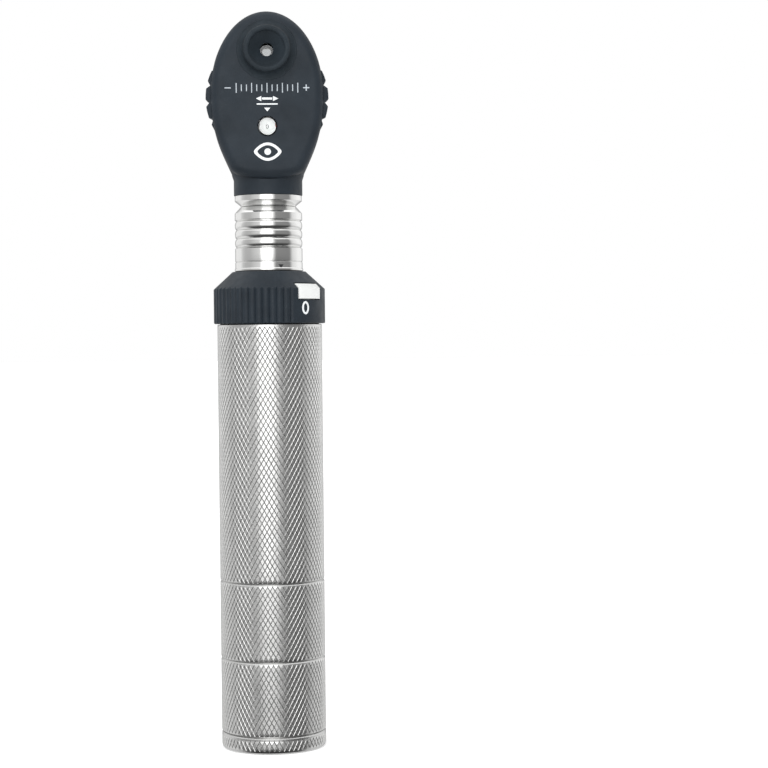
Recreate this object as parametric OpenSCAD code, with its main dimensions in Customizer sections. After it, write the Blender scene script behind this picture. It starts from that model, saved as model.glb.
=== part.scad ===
// Direct ophthalmoscope: an oval diagnostic head with a wheel of correction lenses, held by
// a bayonet on a knurled battery handle with a brightness ring.
// +Z runs up the handle to the head, -Y is the examiner's side and +Y the patient's side.
// The origin is the centre of the handle's base.

/* [Handle] */
// Outer diameter of the knurled tube
handle_d = 27.5; // [27.4:0.1:29]
// Wall thickness of the tube
tube_wall = 0.6; // [0.55:0.05:0.75]
// Height of the knurled rim of the end cap
cap_h = 4.2; // [4:0.1:6]
// Height of each decorative groove above the base
groove_zs = [23.65, 43.95];

/* [Battery] */
// Diameter of one battery cell
cell_d = 25.7; // [25:0.1:26.2]
// Length of one battery cell over its stud
cell_h = 50; // [49:0.1:50]
// Number of cells
cell_count = 2; // [1, 2]

/* [Brightness ring] */
// Outer diameter of the ring
ring_d = 29.3; // [29.2:0.1:31]
// Overall height of the ring
ring_h = 13.6; // [13.4:0.1:14]
// Height of the bevelled shoulder at the ring's top
ring_chamfer = 4.6; // [4:0.05:4.8]
// Width of that shoulder
ring_shoulder = 5; // [4.8:0.05:5.2]
// Number of flute positions round the ring
ring_flutes = 48; // [36:2:60]
// Direction of the lock button, to the right of the examiner's side
button_angle = 47; // [40:1:60]

/* [Socket] */
// Outer diameter of the ribbed socket on top of the ring
socket_d = 17.7; // [17.4:0.1:19]
// Number of rounded ribs
rib_count = 3; // [2:1:3]
// Twist that unlocks the bayonet
bayonet_twist = 60; // [30:5:75]

/* [Head] */
// Width of the oval at its waist
head_w = 29.3; // [29.2:0.1:30.4]
// Rise of the oval from its waist to its top
head_rise = 21.55; // [21.5:0.05:23]
// Distance from the handle's axis to the examiner's face
face_depth = 10.5; // [10.4:0.1:11]
// Wall thickness of the two shells
shell_wall = 1.6; // [1.2:0.1:1.8]
// Diameter over the teeth of the lens wheel
wheel_d = 31.8; // [31.2:0.1:32]
// Number of stations on the lens wheel
lens_stations = 24; // [24]
// Number of grip teeth round the lens wheel
wheel_teeth = 21; // [19:2:23]
// Distance from the wheel's centre to the line of sight
sight_offset = 12.1; // [12:0.05:12.15]

/* [Hidden] */
$fn = 96;
eps = 0.02;

// Heights up the handle
handle_r = handle_d / 2;
tube_r = handle_r - tube_wall;
thread_gap = 0.04;
cap_thread_h = 3.2;
cell_z = cap_h + cap_thread_h + 0.3;
cells_top = cell_z + cell_count * cell_h;
core_z = cells_top + 0.6;
core_thread_h = 2.9;
tube_top = core_z + core_thread_h;
ring_z = tube_top + 0.2;
ring_top = ring_z + ring_h;

// Brightness ring and the core it turns on
ring_r = ring_d / 2;
core_r = 13;
ring_bore = core_r + 0.15;
boss_r = 8.75;
core_shoulder = ring_z + 5.1;
track_h = 0.5;
track_top = core_shoulder + track_h;
ring_cone_z = ring_top - 5.5;
flute_depth = 0.4;
smooth_from = 27;
smooth_to = 78;
button_w = 7.8;
button_z = [ring_top - 7.3, ring_top - 3.4];
button_proud = 0.2;
button_flange_z = [track_top + 0.35, ring_cone_z - 0.1];

// Socket
socket_r = socket_d / 2;
socket_z = ring_top + 0.2;
socket_top = socket_z + 16.75;
plug_r = 6;
socket_bore = plug_r + 0.05;
socket_floor = socket_z + 8.2;
rib_z = socket_z + 6.13;
rib_pitch = 2.3;
rib_depth = 0.45;
bush_r = 4;
pin_z = socket_z + 10.3;
pin_r = 1.45;

// Head
collar_z = socket_top + 0.15;
collar_r = 8.8;
collar_top = collar_z + 2.8;
waist_z = collar_top + 25.6;
wheel_z = waist_z - 0.8;
wheel_r = wheel_d / 2;
sight_z = wheel_z + sight_offset;
dial_z = wheel_z - 7.45;
dial_hole_r = 2.15;
dial_glass_r = 2.6;
shoulder_z = waist_z - 19.3;
shoulder_x = 9.6;
neck_z = collar_top + 0.05;
neck_r = 9;
neck_bore = 7.05;
split_y = -5;
face_y = -face_depth;
back_y = face_depth;
face_round = 2.6;
back_round = 3.2;
wheel_front = face_y + 2.4;
wheel_back = split_y - 0.3;
plate_front = split_y + 0.1;
plate_back = plate_front + 0.9;
optic_r = 3.4;
optic_bore = 2.8;
lens_r = 1.33;
lens_hole_r = 1.15;
lens_t = 0.9;
plus_powers = [1, 2, 3, 4, 5, 6, 7, 8, 9, 10, 15, 20];
minus_powers = [1, 2, 3, 4, 5, 6, 8, 10, 15, 20, 25];
ball_r = 0.75;
ball_y = plate_back - 0.8;
ball_offset = 14.1;
ball_angle = 225;
screw_places = [[0, waist_z + 17.9], [-5.5, waist_z - 17.9], [5.5, waist_z - 17.9]];

// Illumination path
lamp_r = 4.5;
lamp_z = collar_z - 5.15;
lamp_top = collar_z + 3.85;
bulb_r = 2.8;
bulb_top = lamp_top + 7.5;
condenser_z = [bulb_top + 0.6, bulb_top + 4.6];
disc_z = [condenser_z[1] + 1, condenser_z[1] + 2.6];
objective_z = [disc_z[1] + 1.4, disc_z[1] + 14.6];
mirror_z = objective_z[1] + 2.9;
window_z = mirror_z + 2.3;
disc_y = 4.45;
disc_r = 6.95;
disc_hole_r = 1.5;
disc_stations = 6;

// Colours
steel_silver = [0.78, 0.78, 0.76];
chrome_silver = [0.88, 0.88, 0.88];
slate_black = [0.10, 0.12, 0.14];
soft_black = [0.07, 0.08, 0.09];
contact_brass = [0.80, 0.62, 0.28];
clear_glass = [0.80, 0.90, 0.95, 0.45];

// ---- Shapes that repeat ----

// An X-Z outline given thickness along Y.
module slab(y0, y1)
  translate([0, y1, 0]) rotate([90, 0, 0]) linear_extrude(y1 - y0) children();

// A round bar along Y.
module rod_y(r, y0, y1, x = 0, z = 0)
  translate([x, y1, z]) rotate([90, 0, 0]) cylinder(r = r, h = y1 - y0);

// A round bar along Z between two heights.
module rod_z(r, z0, z1) translate([0, 0, z0]) cylinder(r = r, h = z1 - z0);

// A plain tube along Z.
module tube_z(ro, ri, z0, z1) difference() {
  rod_z(ro, z0, z1);
  rod_z(ri, z0 - 1, z1 + 1);
}

// Turned about a line along Y through height z: the outline is [radius, -Y].
module turned_y(z) translate([0, 0, z]) rotate([90, 0, 0]) rotate_extrude() children();

// Turns X to the lock button's direction.
module at_button() rotate([0, 0, button_angle - 90]) children();

function bezier(p, t) =
  pow(1 - t, 3) * p[0] + 3 * pow(1 - t, 2) * t * p[1] + 3 * (1 - t) * t * t * p[2] + pow(t, 3) * p[3];
function left(p) = [-p[0], p[1]];

// The head's oval drawn inward by i: an ellipse over the waist, straighter flanks below it.
function flank(i) = [
  [head_w / 2 - i, waist_z], [head_w / 2 - i, waist_z - 8.5],
  [shoulder_x + 3.35 - i, shoulder_z + 7.2], [shoulder_x - i, shoulder_z + 0.3 * i]
];
function chin(i) = [
  left(flank(i)[3]), [-0.72 * (shoulder_x - i), shoulder_z - 3.2 + 1.2 * i],
  [0.72 * (shoulder_x - i), shoulder_z - 3.2 + 1.2 * i], flank(i)[3]
];
function oval(i = 0) = concat(
  [for (a = [0 : 6 : 180]) [(head_w / 2 - i) * cos(a), waist_z + (head_rise - i) * sin(a)]],
  [for (t = [1 : 8]) left(bezier(flank(i), t / 8))],
  [for (t = [1 : 7]) bezier(chin(i), t / 8)],
  [for (t = [8 : -1 : 1]) bezier(flank(i), t / 8)]
);

// A pad with the oval's outline from y_flat to y_round, where its edge is rounded by r.
module pad(i, y_flat, y_round, r) {
  way = sign(y_round - y_flat);
  rings = concat(
    [[y_flat, i]],
    [for (q = [0 : 15 : 90]) [y_round - way * r * (1 - sin(q)), i + r * (1 - cos(q))]]
  );
  n = len(oval());
  last = (len(rings) - 1) * n;
  points = [for (g = rings, p = oval(g[1])) [p[0], g[0], p[1]]];
  skin = [
    for (k = [0 : len(rings) - 2], s = [0 : n - 1])
      let (a = k * n + s, b = k * n + (s + 1) % n) each [[a, b, b + n], [a, b + n, a + n]]
  ];
  ends = [[for (s = [n - 1 : -1 : 0]) s], [for (s = [0 : n - 1]) last + s]];
  polyhedron(points, [for (f = concat(skin, ends)) way > 0 ? f : flip(f)]);
}
function flip(f) = [for (k = [len(f) - 1 : -1 : 0]) f[k]];

// A disc outline with n teeth: flat tips, bevelled flanks and a narrow root.
function toothed(r, n, depth) = [
  for (k = [0 : n - 1], s = [[-0.37, 0.6], [-0.28, 1], [0, 1], [0.28, 1], [0.37, 0.6], [0.5, 0]])
    let (a = (k + s[0]) * 360 / n, d = r - depth * (1 - s[1])) [d * cos(a), d * sin(a)]
];

// A wire swept along a coil whose radius goes from r0 to r1 while it climbs to height h.
module coil(r0, r1, h, turns, wire, steps = 20, sides = 8) {
  n = turns * steps;
  points = [
    for (k = [0 : n], s = [0 : sides - 1])
      let (
        a = 360 * k / steps, b = 360 * s / sides,
        r = r0 + (r1 - r0) * k / n + wire / 2 * cos(b)
      ) [r * cos(a), r * sin(a), h * k / n + wire / 2 * sin(b)]
  ];
  skin = [
    for (k = [0 : n - 1], s = [0 : sides - 1])
      let (t = (s + 1) % sides)
        [k * sides + s, (k + 1) * sides + s, (k + 1) * sides + t, k * sides + t]
  ];
  ends = [[for (s = [0 : sides - 1]) s], [for (s = [sides - 1 : -1 : 0]) n * sides + s]];
  polyhedron(points, concat(skin, ends));
}

// ---- Handle ----

module handle_tube() color(steel_silver) rotate_extrude() difference() {
  translate([tube_r, cap_h + 0.1]) square([tube_wall, tube_top - cap_h - 0.1]);
  for (z = concat(groove_zs, [cap_h + 0.1]))
    polygon([[handle_r - 0.3, z], [handle_r + 0.1, z - 0.35], [handle_r + 0.1, z + 0.35]]);
}

// One cell: the can, its rolled shoulder and its stud, with a groove round the base contact.
module battery_cell(k) color([0.16, 0.17, 0.20]) translate([0, 0, cell_z + k * cell_h])
  rotate_extrude() polygon([
    [0, 0], [9, 0], [9.3, 0.3], [11.2, 0.3], [11.5, 0], [cell_d / 2 - 0.6, 0], [cell_d / 2, 0.6],
    [cell_d / 2, cell_h - 3],
    [cell_d / 2 - 0.8, cell_h - 2.2], [5, cell_h - 2.2], [3.6, cell_h - 1.6], [3.2, cell_h], [0, cell_h]
  ]);

module battery_contact() color(contact_brass) {
  rod_z(6, cells_top, core_z);
  rod_z(1.5, core_z - eps, core_z + 2.6);
}

// The fixed core under the ring: threaded into the tube, with a shoulder for the track.
module dimmer_core() color(soft_black) difference() {
  union() {
    rod_z(tube_r - thread_gap, core_z, tube_top);
    rod_z(core_r, tube_top - eps, core_shoulder);
    rod_z(boss_r, core_shoulder - eps, socket_z);
  }
  rod_z(1.5, core_z - 1, core_z + 4);
  rod_z(bush_r, core_z + 2.6, ring_z + 7);
  rod_z(plug_r, ring_z + 6.6, socket_z + 1);
}

module resistance_track() color([0.30, 0.18, 0.10]) translate([0, 0, core_shoulder])
  rotate([0, 0, button_angle + 113]) rotate_extrude(angle = 320)
    translate([10, 0]) square([2.6, track_h]);

// Rib outline of the socket between two heights, as a chain of shallow arches.
function rib_outline() = [
  for (k = [0 : rib_count - 1], t = [0 : 10])
    [socket_r - rib_depth * (1 - sqrt(sin(180 * t / 10))), rib_z + (k + t / 10) * rib_pitch]
];

module bayonet_socket() {
  groove_z = socket_z + 10.9;
  land_z = rib_z + rib_count * rib_pitch;
  color(chrome_silver) difference() {
    rotate_extrude() polygon(concat(
      [
        [0, ring_top - 7], [plug_r, ring_top - 7], [plug_r, socket_z], [socket_r + 0.15, socket_z],
        [socket_r + 0.15, socket_z + 0.5], [socket_r, socket_z + 0.7], [socket_r, socket_z + 2.2],
        [socket_r - 0.25, socket_z + 2.35], [socket_r, socket_z + 2.5], [socket_r, rib_z - 0.3]
      ],
      rib_outline(),
      [[socket_r, land_z + 0.3], [socket_r, socket_top - 1.64], [7.35, socket_top], [0, socket_top]]
    ));
    rod_z(bush_r, ring_top - 8, socket_floor + 1);
    rod_z(socket_bore, socket_floor, socket_top + 1);
    for (side = [0, 180]) rotate([0, 0, side]) {
      translate([0, 0, groove_z]) rotate([0, 0, -10]) rotate_extrude(angle = bayonet_twist + 20)
        translate([5, 0]) square([2.05, 2.2]);
      rotate([0, 0, bayonet_twist]) translate([5, -1.1, groove_z + 0.4]) cube([2, 2.2, 10]);
    }
  }
}

module insulator_bush() color([0.85, 0.82, 0.72]) difference() {
  rod_z(bush_r, core_z + 2.6, socket_floor - 0.3);
  rod_z(2.4, core_z + 1, socket_floor - 9);
  rod_z(pin_r + 0.05, core_z + 1, socket_floor + 1);
}

module contact_spring() color(steel_silver) translate([0, 0, core_z + 2.85])
  coil(1.8, 1.8, socket_floor - 11.4 - core_z - 2.85, 8, 0.4, 16, 6);

module contact_pin() color(contact_brass) {
  rod_z(2.25, socket_floor - 11, socket_floor - 9.4);
  rod_z(pin_r, socket_floor - 11, pin_z - 0.5);
  translate([0, 0, pin_z - 0.5]) cylinder(r1 = pin_r, r2 = 0.9, h = 0.5);
}

// ---- Brightness ring ----

// Outside of the ring or, with grow, of the button that follows it.
module ring_profile(grow = 0) rotate_extrude() polygon([
  [0, ring_z], [ring_r - 0.2 + grow, ring_z], [ring_r + grow, ring_z + 0.2],
  [ring_r + grow, ring_top - ring_chamfer + grow * 0.4],
  [ring_r - ring_shoulder + grow, ring_top + grow * 0.4], [0, ring_top + grow * 0.4]
]);

// Fluted outline, smooth where the lock button and its mark sit.
function fluted() = [
  for (k = [0 : ring_flutes - 1], t = [0 : 5])
    let (
      a = (k + t / 6) * 360 / ring_flutes,
      from_face = (a + 90) % 360,
      smooth = from_face > smooth_from && from_face < smooth_to,
      r = smooth ? ring_r + 1 : ring_r + 0.02 - flute_depth * (1 - abs(sin(180 * t / 6)))
    ) [r * cos(a), r * sin(a)]
];

module dimmer_ring() color(slate_black) difference() {
  union() {
    difference() {
      intersection() {
        ring_profile();
        translate([0, 0, ring_z - 1]) linear_extrude(ring_h + 2) polygon(fluted());
      }
      rotate_extrude() polygon([
        [0, ring_z - 1], [ring_bore, ring_z - 1], [ring_bore, ring_cone_z],
        [boss_r + 0.1, ring_cone_z + ring_bore - boss_r - 0.1],
        [boss_r + 0.1, ring_top + 1], [0, ring_top + 1]
      ]);
    }
    at_button() translate([9, -2, button_z[0]]) cube([0.8, 4, 5.4]);
    at_button() translate([-12.2, -2, ring_cone_z + 0.7]) cube([2, 4, 1.5]);
  }
  at_button() translate([10.7, -button_w / 2 - 0.25, button_z[0] - 0.25])
    cube([5.8, button_w + 0.5, button_z[1] - button_z[0] + 0.5]);
}

module dimmer_wiper() color(contact_brass) at_button() {
  hull() {
    translate([-12, -1.5, ring_cone_z + 0.4]) cube([1.6, 0.6, 0.3]);
    translate([-12, 1.2, track_top + 0.05]) cube([1.6, 0.6, 0.3]);
  }
  translate([-12, -1.9, ring_cone_z + 0.4]) cube([1.6, 1, 0.3]);
}

module lock_button() color([0.93, 0.93, 0.92]) intersection() {
  ring_profile(button_proud);
  at_button() union() {
    translate([12, -button_w / 2, button_z[0]]) cube([4, button_w, button_z[1] - button_z[0]]);
    translate([11.4, -4.4, button_flange_z[0]])
      cube([0.7, 8.8, button_flange_z[1] - button_flange_z[0]]);
  }
}

module button_spring() color(steel_silver) at_button()
  translate([9.95, 0, (button_flange_z[0] + button_flange_z[1]) / 2]) rotate([0, 90, 0])
    coil(0.8, 0.8, 1.3, 3, 0.25, 16, 6);

// ---- End cap and battery spring ----

module end_cap() color(steel_silver) rotate_extrude() polygon([
  [0, 0.35], [9, 0.35], [9.4, 0], [handle_r - 0.85, 0], [handle_r - 0.25, 0.25],
  [handle_r, 0.85], [handle_r, cap_h - 0.3],
  [handle_r - 0.3, cap_h], [tube_r - thread_gap, cap_h], [tube_r - thread_gap, cap_h + cap_thread_h],
  [tube_r - 1.2, cap_h + cap_thread_h], [tube_r - 1.2, 1.6], [0, 1.6]
]);

module spring_seat() color([0.20, 0.20, 0.20]) tube_z(tube_r - 1.5, 2, 1.75, 2.5);

module battery_spring() color(steel_silver) translate([0, 0, 3])
  coil(10, 5.2, cell_z - 3.55, 5, 0.9, 20, 8);

// ---- Head: coupling and lamp ----

module head_connector() color(chrome_silver) difference() {
  rotate_extrude() polygon([
    [0, collar_z - 7.7], [plug_r - 0.4, collar_z - 7.7], [plug_r, collar_z - 7.3], [plug_r, collar_z],
    [7.3, collar_z], [7.3, collar_z + 0.2], [collar_r, collar_z + 1.4],
    [collar_r, collar_top], [neck_bore - 0.05, collar_top],
    [neck_bore - 0.05, collar_top + 3.2], [0, collar_top + 3.2]
  ]);
  rod_z(lamp_r + 0.05, collar_z - 8, lamp_top);
  rod_z(lamp_r - 0.5, collar_z, collar_top + 4);
}

module bayonet_pins() color(chrome_silver) for (side = [0, 180]) rotate([0, 0, side])
  translate([plug_r - 1, 0, socket_z + 12]) rotate([0, 90, 0]) cylinder(r = 0.9, h = 1.9);

module lamp_base() color([0.82, 0.80, 0.74]) rotate_extrude() polygon([
  [0, lamp_z], [lamp_r - 0.4, lamp_z], [lamp_r, lamp_z + 0.4], [lamp_r, lamp_z + 3.2],
  [lamp_r - 0.3, lamp_z + 3.4], [lamp_r, lamp_z + 3.6], [lamp_r, lamp_top], [0, lamp_top]
]);

module lamp_contact() color(contact_brass) translate([0, 0, pin_z + 0.1])
  cylinder(r1 = 1.3, r2 = 1.7, h = lamp_z - pin_z - 0.1);

// Hollow envelope with a domed top, open where it is sealed to the lamp base.
module bulb_glass() color(clear_glass) difference() {
  union() {
    rod_z(bulb_r, lamp_top, bulb_top - bulb_r);
    translate([0, 0, bulb_top - bulb_r]) sphere(r = bulb_r);
  }
  rod_z(bulb_r - 0.4, lamp_top - 1, bulb_top - bulb_r);
  translate([0, 0, bulb_top - bulb_r]) sphere(r = bulb_r - 0.4);
}

module filament() color([0.45, 0.42, 0.40]) {
  for (x = [-1, 1]) translate([x, 0, lamp_top]) cylinder(r = 0.12, h = 3.4);
  translate([-1.3, 0, lamp_top + 3.4]) rotate([0, 90, 0]) cylinder(r = 0.25, h = 2.6);
}

// ---- Head: shells ----

module screw_bars(r, y0, y1)
  for (p = screw_places) rod_y(r, y0, y1, p[0], p[1]);

// The neck flares into the oval behind the examiner's cover.
module neck() difference() {
  rotate_extrude() polygon([
    [0, neck_z], [neck_r, neck_z], [neck_r, waist_z - 21.6],
    [shoulder_x, shoulder_z + 0.2], [0, shoulder_z + 0.2]
  ]);
  slab(face_y - 1, split_y) polygon(oval());
}

module head_housing() color(slate_black) difference() {
  union() {
    difference() {
      union() {
        pad(0, split_y, back_y, back_round);
        neck();
      }
      pad(shell_wall, split_y - 0.5, back_y - shell_wall, 2);
    }
    screw_bars(1.75, split_y, back_y - shell_wall + eps);
  }
  rod_z(neck_bore, neck_z - 1, shoulder_z + 0.5);
  screw_bars(1.05, split_y - 1, back_y + 1);
  screw_bars(2, back_y - 1, back_y + 1);
  rod_y(4.4, back_y - 3, back_y + 1, 0, window_z);
  rod_y(5, back_y - 0.8, back_y + 1, 0, window_z);
  translate([-5.8, back_y - 4, disc_z[0] - 0.4]) cube([11.6, 5, disc_z[1] - disc_z[0] + 0.8]);
}

module eyepiece_cover() color(slate_black) difference() {
  union() {
    difference() {
      pad(0, split_y, face_y, face_round);
      pad(shell_wall, split_y + 0.5, face_y + 1.8, 1.2);
      rod_y(wheel_r + 0.4, wheel_front - 0.3, split_y + 1, 0, wheel_z);
    }
    screw_bars(1.75, face_y + 1.7, split_y);
  }
  screw_bars(0.8, face_y + 2.5, split_y + 1);
  rod_y(4.2, face_y - 1, split_y, 0, sight_z);
  rod_y(dial_glass_r, face_y - 1, face_y + 0.9, 0, dial_z);
  rod_y(dial_hole_r, face_y - 1, split_y, 0, dial_z);
}

// Soft ring round the sight hole: a flared foot, a rolled lip and a funnel.
module eyepiece_cup() color(soft_black) turned_y(sight_z) polygon(concat(
  [[1.7, -face_y - 1.1], [2.6, -face_y - 1.1], [2.6, -face_y - 1.8], [4.2, -face_y - 1.8]],
  [[4.2, -face_y], [7.8, -face_y]],
  [for (a = [0 : 15 : 75]) [7.7 - 1.7 * sin(a), -face_y + 0.15 + 2.9 * (1 - cos(a))]],
  [for (a = [0 : 20 : 180]) [5.25 + 0.75 * cos(a), -face_y + 3.25 + 0.75 * sin(a)]],
  [[1.7, -face_y + 0.7]]
));

module sight_window() color(clear_glass) rod_y(2.6, face_y + 1.15, face_y + 1.75, 0, sight_z);

// Magnifier over the dial: flat inside, crowned outside.
module dial_window() color(clear_glass) turned_y(dial_z) polygon(concat(
  [[0, -face_y - 0.9], [dial_glass_r, -face_y - 0.9]],
  [for (t = [1 : -0.2 : 0]) [dial_glass_r * t, -face_y - 0.3 * t * t]]
));

module front_window() color(clear_glass) rod_y(5, back_y - 0.8, back_y, 0, window_z);

module front_bezel() color(soft_black) turned_y(window_z) polygon([
  [4.5, -back_y], [6.3, -back_y], [6.3, -back_y - 0.8], [5.9, -back_y - 1.2], [4.9, -back_y - 1.2]
]);

module cover_screws() color(steel_silver) difference() {
  union() {
    screw_bars(1.95, back_y - 1, back_y - 0.25);
    screw_bars(1.0, back_y - 13.5, back_y - 0.9);
    screw_bars(0.78, face_y + 3, back_y - 13);
  }
  for (p = screw_places) for (turn = [0, 90]) translate([p[0], back_y - 0.5, p[1]]) rotate([0, turn, 0])
    cube([2.6, 0.8, 0.45], center = true);
}

// ---- Head: lens wheel ----

// The plate that carries the wheel, the detent and the light tubes.
module chassis_plate() color([0.22, 0.23, 0.25]) {
  clamps = [
    [condenser_z[0] + 1.6, disc_z[0] - 0.08], [objective_z[0] + 1.8, objective_z[0] + 4.2],
    [objective_z[1] - 3.4, objective_z[1] - 1]
  ];
  difference() {
    union() {
      slab(plate_front, plate_back) polygon(oval(shell_wall + 0.15));
      for (c = clamps) tube_z(optic_r + 0.9, optic_r, c[0], c[1]);
      difference() {
        translate([-1.8, 2.8, clamps[0][0]]) cube([3.6, disc_y - 0.9, clamps[0][1] - clamps[0][0]]);
        rod_z(optic_r, clamps[0][0] - 1, clamps[0][1] + 1);
      }
    }
    screw_bars(1.85, plate_front - 1, plate_back + 1);
    rod_y(1.25, plate_front - 1, plate_back + 1, 0, wheel_z);
    rod_y(1.6, plate_front - 1, plate_back + 1, 0, sight_z);
    rod_y(ball_r + 0.1, plate_front - 1, plate_back + 1, ball_x(), ball_height());
    at_disc() rod_z(0.9, clamps[0][0] - 1, clamps[0][1] + 1);
  }
}

function ball_x() = ball_offset * cos(ball_angle);
function ball_height() = wheel_z + ball_offset * sin(ball_angle);

module wheel_axle() color(steel_silver) {
  rod_y(1.25, wheel_front, plate_back + 0.4, 0, wheel_z);
  rod_y(2.3, wheel_front - 0.25, wheel_front + 0.3, 0, wheel_z);
}

module wheel_washer() color(steel_silver) difference() {
  rod_y(2.5, wheel_back + 0.04, plate_front, 0, wheel_z);
  rod_y(1.25, wheel_back - 1, plate_front + 1, 0, wheel_z);
}

module detent_leaf() color(steel_silver) translate([ball_x(), plate_back, ball_height()]) {
  translate([-1, 0, -1.3]) cube([2, 0.2, 9.4]);
  rod_y(0.8, 0.2, 0.6, 0, 7);
}

module detent_ball() color(chrome_silver) translate([ball_x(), ball_y, ball_height()]) sphere(r = ball_r);

module at_station(k, r, y) rotate([0, k * 360 / lens_stations, 0]) translate([0, y, r]) children();

module lens_wheel() color(soft_black) translate([0, 0, wheel_z]) difference() {
  slab(wheel_front, wheel_back) rotate(90) polygon(toothed(wheel_r, wheel_teeth, 0.95));
  rod_y(1.3, wheel_front - 1, wheel_back + 1);
  rod_y(9.9, wheel_front - 1, wheel_front + 0.35);
  for (k = [0 : lens_stations - 1]) {
    at_station(k, sight_offset, 0) rod_y(lens_hole_r, wheel_front - 1, wheel_back + 1);
    at_station(k, sight_offset, 0) rod_y(lens_r + 0.02, wheel_front - 1, wheel_front + 1.2);
    at_station(k, ball_offset, ball_y) sphere(r = ball_r + 0.1);
  }
}

module dial_ring() color([0.95, 0.95, 0.93]) translate([0, 0, wheel_z]) difference() {
  rod_y(9.85, wheel_front, wheel_front + 0.35);
  rod_y(5.1, wheel_front - 1, wheel_back);
}

// One correction lens for a power in dioptres: both faces share the bending.
module correction_lens(power) {
  bend = 2 * (1.52 - 1) * 1000 / power;
  function sag(x) = (bend > 0 ? 1 : -1) * (abs(bend) - sqrt(bend * bend - x * x));
  steps = [0 : 0.2 : 1];
  rotate([90, 0, 0]) rotate_extrude() polygon(concat(
    [for (t = steps) let (x = lens_r * t) [x, lens_t / 2 + sag(lens_r) - sag(x)]],
    [for (t = steps) let (x = lens_r * (1 - t)) [x, -lens_t / 2 - sag(lens_r) + sag(x)]]
  ));
}

module plus_lenses() color(clear_glass) translate([0, 0, wheel_z])
  for (k = [0 : len(plus_powers) - 1])
    at_station(k + 1, sight_offset, wheel_front + 0.7) correction_lens(plus_powers[k]);

module minus_lenses() color(clear_glass) translate([0, 0, wheel_z])
  for (k = [0 : len(minus_powers) - 1])
    at_station(-k - 1, sight_offset, wheel_front + 0.7) correction_lens(-minus_powers[k]);

// ---- Head: light tubes, mirror and aperture wheel ----

module condenser_tube() color(soft_black) difference() {
  rod_z(optic_r, condenser_z[0], condenser_z[1]);
  rod_z(optic_bore, condenser_z[0] - 1, condenser_z[1] + 1);
}

module crowned_lens(z, edge, crown) translate([0, 0, z]) rotate_extrude() polygon(concat(
  [[0, 0], [optic_bore, 0]],
  [for (t = [1 : -0.2 : 0]) [optic_bore * t, edge + crown * (1 - t * t)]]
));

module condenser_lens() color(clear_glass) crowned_lens(condenser_z[0] + 0.6, 0.9, 1.3);

module objective_tube() color(soft_black) difference() {
  rod_z(optic_r, objective_z[0], objective_z[1]);
  rod_z(optic_bore, objective_z[0] - 1, objective_z[1] + 1);
}

module objective_lens() color(clear_glass) crowned_lens(objective_z[0] + 6, 0.8, 0.9);

// Wedge that holds the mirror at 45 degrees below the line of sight.
module mirror_holder() color(soft_black) translate([-2.5, 0, 0]) rotate([90, 0, 90])
  linear_extrude(5) polygon([
    [plate_back, mirror_z - 1.6], [-2.6, mirror_z - 1.6],
    [1.4, mirror_z + 2.4], [plate_back, mirror_z + 2.4]
  ]);

module mirror() color([0.92, 0.94, 0.96]) translate([0, 0, mirror_z]) rotate([45, 0, 0])
  translate([-2.5, -3, 0]) cube([5, 6, 0.69]);

module at_disc() translate([0, disc_y, 0]) children();
module at_aperture(k) at_disc() rotate([0, 0, k * 360 / disc_stations])
  translate([0, -disc_y, 0]) children();

module aperture_wheel() color(soft_black) difference() {
  at_disc() translate([0, 0, disc_z[0]]) linear_extrude(disc_z[1] - disc_z[0])
    polygon(toothed(disc_r, 30, 0.4));
  at_disc() rod_z(0.95, disc_z[0] - 1, disc_z[1] + 1);
  for (k = [0 : disc_stations - 1]) at_aperture(k) {
    if (k == 2) intersection() {
      rod_z(disc_hole_r - 0.2, disc_z[0] - 1, disc_z[1] + 1);
      translate([0, -2, disc_z[0] - 1]) cube([2, 4, 4]);
    }
    else rod_z(k == 1 ? 0.7 : disc_hole_r - 0.2, disc_z[0] - 1, disc_z[1] + 1);
    if (k > 2) rod_z(disc_hole_r, disc_z[1] - 0.7, disc_z[1] + 1);
  }
}

module disc_glass(k) at_aperture(k) rod_z(disc_hole_r, disc_z[1] - 0.7, disc_z[1] - 0.1);

module fixation_glass() color(clear_glass) disc_glass(3);
module green_filter() color([0.10, 0.65, 0.30, 0.7]) disc_glass(4);
module blue_filter() color([0.15, 0.30, 0.85, 0.7]) disc_glass(5);

module aperture_axle() color(steel_silver) at_disc() {
  rod_z(0.9, condenser_z[0] + 1.6, disc_z[1] + 0.1);
  rod_z(1.3, disc_z[1] + 0.05, disc_z[1] + 0.7);
}

handle_tube();
battery_cell(0);  // battery_cell_lower
battery_cell(1);  // battery_cell_upper
battery_contact();
dimmer_core();
resistance_track();
bayonet_socket();
insulator_bush();
contact_spring();
contact_pin();
dimmer_ring();
dimmer_wiper();
button_spring();
lock_button();
spring_seat();
battery_spring();
end_cap();
head_connector();
bayonet_pins();
lamp_base();
lamp_contact();
bulb_glass();
filament();
head_housing();
eyepiece_cover();
eyepiece_cup();
sight_window();
dial_window();
front_window();
front_bezel();
cover_screws();
chassis_plate();
wheel_axle();
wheel_washer();
detent_leaf();
detent_ball();
lens_wheel();
dial_ring();
plus_lenses();
minus_lenses();
condenser_tube();
condenser_lens();
objective_tube();
objective_lens();
mirror_holder();
mirror();
aperture_wheel();
aperture_axle();
fixation_glass();
green_filter();
blue_filter();
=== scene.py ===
"""The looks of the ophthalmoscope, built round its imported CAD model.

Shapes are worked out in millimetres, in the CAD model's frame, and become metres in
make(). -Y is the examiner's side, +X is to the examiner's right and Z runs up the handle.
Sizes that the CAD model's boxes give are read from it, and the others repeat its own.
"""

import math

import bmesh
import bpy
from mathutils import Matrix, Vector


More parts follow.
